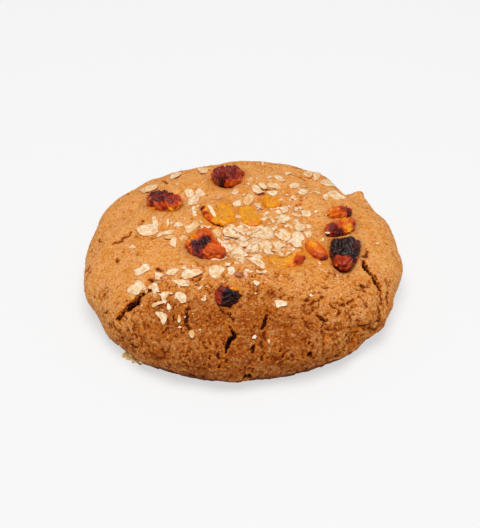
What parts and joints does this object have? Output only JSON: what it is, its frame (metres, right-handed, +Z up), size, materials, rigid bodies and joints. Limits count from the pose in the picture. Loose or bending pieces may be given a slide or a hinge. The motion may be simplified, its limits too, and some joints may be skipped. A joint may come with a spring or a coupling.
{
  "type": "oatmeal raisin cookie",
  "caption": "Thick round baked cookie with a cracked domed crust, rolled-oat flakes on its crown, and dark raisins and golden sultanas set into it.",
  "frame": {"origin": "centre of the cookie's outer box at the height of its flat underside", "axes": "+Z up through the crown, +Y to the back, +X to the right of the side with the two front cracks"},
  "size_m": [0.0886, 0.091, 0.0223],
  "materials": {
    "dough": "baked matte crumb",
    "raisin": "wrinkled, half gloss",
    "sultana": "wrinkled, glossy and slightly see-through"
  },
  "bodies": {
    "root": {"cookie": "dough", "raisin_back": "raisin", "raisin_left": "raisin", "raisin_middle": "raisin", "raisin_front": "raisin", "raisin_black": "raisin", "raisin_torn": "raisin", "raisin_small": "raisin", "sultana_crescent": "sultana", "sultana_middle": "sultana", "sultana_back": "sultana", "sultana_strip": "sultana", "sultana_right": "sultana"}
  },
  "joints": []
}
